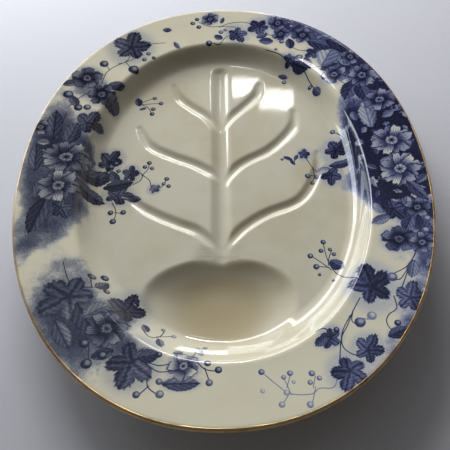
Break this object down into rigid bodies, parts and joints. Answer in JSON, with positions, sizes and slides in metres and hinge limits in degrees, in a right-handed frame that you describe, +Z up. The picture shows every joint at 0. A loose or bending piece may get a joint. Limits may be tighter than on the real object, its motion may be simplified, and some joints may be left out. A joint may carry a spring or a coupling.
{
  "type": "well-and-tree platter",
  "caption": "Oval earthenware serving platter with a broad rim, a tree of juice grooves sloping to a deep well, low feet and a gilt edge.",
  "frame": {"origin": "on the table under the centre of the platter's outline", "axes": "+Z up from the table; +Y along the platter towards the top of the tree, -Y towards the well; +X to the right seen from the well end"},
  "size_m": [0.38, 0.482, 0.052],
  "materials": {
    "printed_earthenware": "clear glaze over cream earthenware with a blue transfer print",
    "foot_earthenware": "clear glaze, worn to the bare body where it stands",
    "gilding": "burnished gilding, rubbed with use"
  },
  "bodies": {
    "root": {"platter_body": "printed_earthenware", "well_foot_ring": "foot_earthenware", "tree_end_foot_left": "foot_earthenware", "tree_end_foot_right": "foot_earthenware", "gilt_edge_line": "gilding"}
  },
  "joints": []
}
